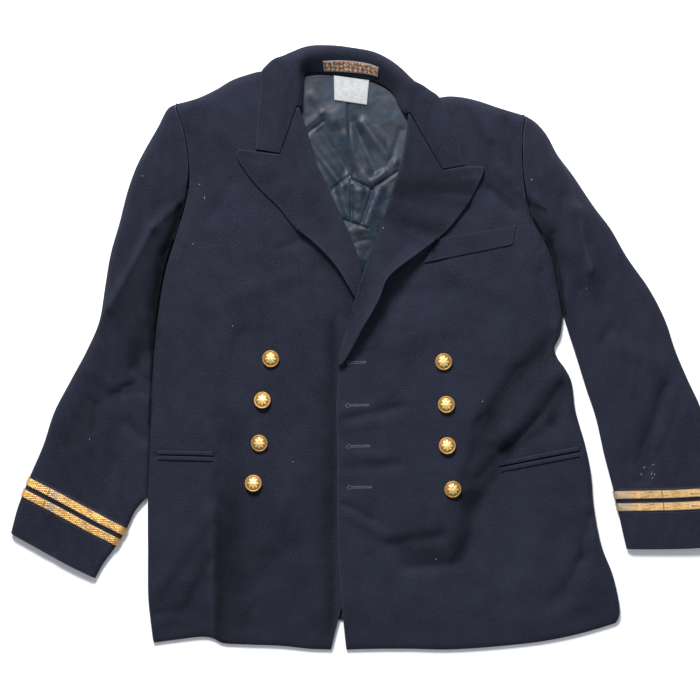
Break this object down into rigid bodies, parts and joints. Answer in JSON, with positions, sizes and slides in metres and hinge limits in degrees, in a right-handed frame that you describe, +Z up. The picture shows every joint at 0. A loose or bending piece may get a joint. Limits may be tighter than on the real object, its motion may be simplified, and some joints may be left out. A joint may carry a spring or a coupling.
{
  "type": "service dress jacket",
  "caption": "Double-breasted service dress jacket with peak lapels and cuff lace, laid flat on its back with the sleeves spread.",
  "frame": {"origin": "under the middle of the plan, on the surface that the jacket lies on", "axes": "+Z up from the surface, +Y from the hem to the collar, +X towards the wearer's left"},
  "size_m": [0.9488, 0.804, 0.0379],
  "materials": {
    "wool": "fulled wool cloth with a short nap",
    "lining": "smooth satin",
    "lace": "tarnished metallic braid",
    "brass": "gilt, worn",
    "label": "woven",
    "patch": "plain cotton"
  },
  "bodies": {
    "root": {"back": "wool", "right_front": "wool", "left_front": "wool", "right_lapel": "wool", "left_lapel": "wool", "collar": "wool", "right_top_sleeve": "wool", "right_under_sleeve": "wool", "left_top_sleeve": "wool", "left_under_sleeve": "wool", "breast_welt": "wool", "right_pocket_upper_jet": "wool", "right_pocket_lower_jet": "wool", "left_pocket_upper_jet": "wool", "left_pocket_lower_jet": "wool", "back_lining": "lining", "right_upper_lace": "lace", "right_lower_lace": "lace", "left_upper_lace": "lace", "left_lower_lace": "lace", "woven_label": "label", "fabric_patch": "patch", "right_button_1": "brass", "right_button_2": "brass", "right_button_3": "brass", "right_button_4": "brass", "left_button_1": "brass", "left_button_2": "brass", "left_button_3": "brass", "left_button_4": "brass"}
  },
  "joints": []
}
